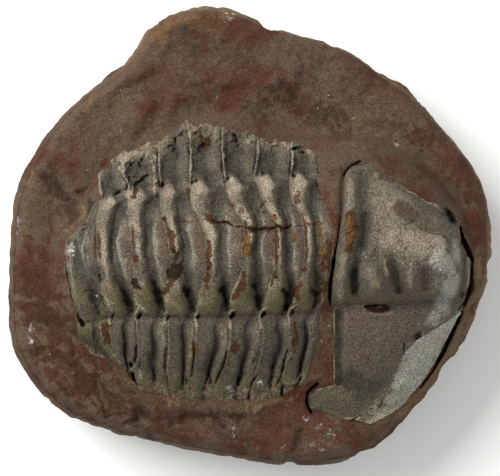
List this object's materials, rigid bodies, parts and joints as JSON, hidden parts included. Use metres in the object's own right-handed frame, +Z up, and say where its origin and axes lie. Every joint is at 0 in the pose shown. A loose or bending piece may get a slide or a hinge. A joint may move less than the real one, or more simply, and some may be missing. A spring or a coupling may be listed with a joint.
{
  "type": "trilobite fossil",
  "caption": "Trilobite fossil lying in relief on half a rounded stone nodule: ringed thorax, smooth head shield and small tail on a rough red-brown bed.",
  "frame": {"origin": "middle of the bounding box's base, on the nodule's flat worn back", "axes": "+X along the animal towards its head, +Y towards the short broken side of its thorax, +Z up, out of the split face"},
  "size_m": [0.0652, 0.062, 0.0297],
  "materials": {
    "nodule_stone": "rough matt red-brown siltstone with darker and greyer patches, an ochre knob and white mineral specks",
    "shell_stone": "fine-grained grey-brown petrified shell, tan on the ridges, dark in the furrows, with rust stains and hair cracks",
    "cheek_stone": "fine-grained pale grey-green petrified shell"
  },
  "bodies": {
    "root": {"nodule": "nodule_stone", "pygidium": "shell_stone", "thoracic_segment_7": "shell_stone", "thoracic_segment_6": "shell_stone", "thoracic_segment_5": "shell_stone", "thoracic_segment_4": "shell_stone", "thoracic_segment_3": "shell_stone", "thoracic_segment_2": "shell_stone", "thoracic_segment_1": "shell_stone", "cranidium": "shell_stone", "free_cheek": "cheek_stone"}
  },
  "joints": []
}
